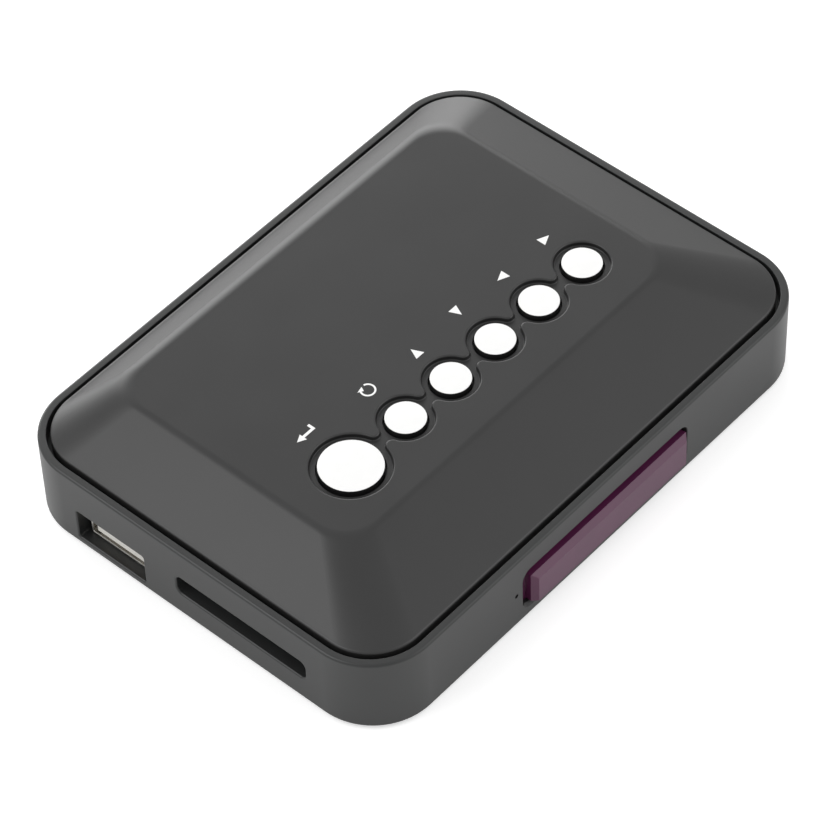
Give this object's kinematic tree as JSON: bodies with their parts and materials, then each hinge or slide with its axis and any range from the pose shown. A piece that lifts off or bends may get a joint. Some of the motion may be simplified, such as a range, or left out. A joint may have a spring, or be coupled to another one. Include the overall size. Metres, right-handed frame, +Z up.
{
  "type": "media player",
  "caption": "Pocket media player: flat rounded case with a raised sloping cover, round keys in a row, an infrared window in front, and card, USB, HDMI, audio/video and power sockets.",
  "frame": {"origin": "centre of the footprint on the surface that the player stands on", "axes": "+Z up, +X along the case away from the wall with the USB socket and card slot, -Y towards the infrared window"},
  "size_m": [0.11, 0.0812, 0.0221],
  "materials": {
    "case_plastic": "satin moulded black ABS",
    "cover_plastic": "satin moulded black ABS",
    "key_plastic": "black moulded key with a printed white top",
    "window_acrylic": "polished dark purple infrared acrylic",
    "circuit_board": "green solder mask on glass epoxy",
    "socket_plastic": "black moulded nylon",
    "pale_plastic": "natural moulded nylon",
    "socket_steel": "nickel-plated sheet steel",
    "screw_steel": "blackened steel",
    "aluminium": "extruded aluminium",
    "chip_epoxy": "matt moulded epoxy",
    "ferrite": "matt pressed ferrite powder",
    "can_sleeve": "aluminium can in a dark sleeve",
    "lamp_resin": "clear red cast resin",
    "foot_rubber": "matt black rubber",
    "cable_film": "laminated polyester film"
  },
  "bodies": {
    "player": {"lower_case": "case_plastic", "top_cover": "cover_plastic", "ir_window": "window_acrylic", "tact_switch_1": "socket_plastic", "tact_switch_2": "socket_plastic", "tact_switch_3": "socket_plastic", "tact_switch_4": "socket_plastic", "tact_switch_5": "socket_plastic", "tact_switch_6": "socket_plastic", "key_board": "circuit_board", "main_board": "circuit_board", "usb_shell": "socket_steel", "usb_tongue": "pale_plastic", "card_socket_base": "socket_plastic", "card_socket_shell": "socket_steel", "hdmi_shell": "socket_steel", "hdmi_tongue": "socket_plastic", "av_jack": "socket_plastic", "dc_inlet": "socket_plastic", "dc_inlet_pin": "socket_steel", "main_chip": "chip_epoxy", "heat_sink": "aluminium", "memory_chip": "chip_epoxy", "flash_chip": "chip_epoxy", "crystal": "socket_steel", "power_coil": "ferrite", "capacitor_1": "can_sleeve", "capacitor_2": "can_sleeve", "ir_receiver": "socket_plastic", "indicator_lamp": "lamp_resin", "key_cable_socket": "pale_plastic", "main_cable_socket": "pale_plastic", "key_cable": "cable_film", "case_screw_1": "screw_steel", "case_screw_2": "screw_steel", "case_screw_3": "screw_steel", "case_screw_4": "screw_steel", "board_screw_1": "screw_steel", "board_screw_2": "screw_steel", "key_board_screw_1": "screw_steel", "key_board_screw_2": "screw_steel", "foot_1": "foot_rubber", "foot_2": "foot_rubber", "foot_3": "foot_rubber", "foot_4": "foot_rubber"},
    "return_key": {"key_return": "key_plastic", "switch_plunger_1": "pale_plastic"},
    "loop_key": {"key_loop": "key_plastic", "switch_plunger_2": "pale_plastic"},
    "up_key": {"key_up": "key_plastic", "switch_plunger_3": "pale_plastic"},
    "down_key": {"key_down": "key_plastic", "switch_plunger_4": "pale_plastic"},
    "left_key": {"key_left": "key_plastic", "switch_plunger_5": "pale_plastic"},
    "right_key": {"key_right": "key_plastic", "switch_plunger_6": "pale_plastic"}
  },
  "joints": [
    {"name": "return_key_press", "type": "slide", "parent": "player", "child": "return_key", "axis": [0, 0, -1], "range_m": [0, 0.0003], "stiffness_N_per_m": 1500},
    {"name": "loop_key_press", "type": "slide", "parent": "player", "child": "loop_key", "axis": [0, 0, -1], "range_m": [0, 0.0003], "stiffness_N_per_m": 1500},
    {"name": "up_key_press", "type": "slide", "parent": "player", "child": "up_key", "axis": [0, 0, -1], "range_m": [0, 0.0003], "stiffness_N_per_m": 1500},
    {"name": "down_key_press", "type": "slide", "parent": "player", "child": "down_key", "axis": [0, 0, -1], "range_m": [0, 0.0003], "stiffness_N_per_m": 1500},
    {"name": "left_key_press", "type": "slide", "parent": "player", "child": "left_key", "axis": [0, 0, -1], "range_m": [0, 0.0003], "stiffness_N_per_m": 1500},
    {"name": "right_key_press", "type": "slide", "parent": "player", "child": "right_key", "axis": [0, 0, -1], "range_m": [0, 0.0003], "stiffness_N_per_m": 1500}
  ]
}
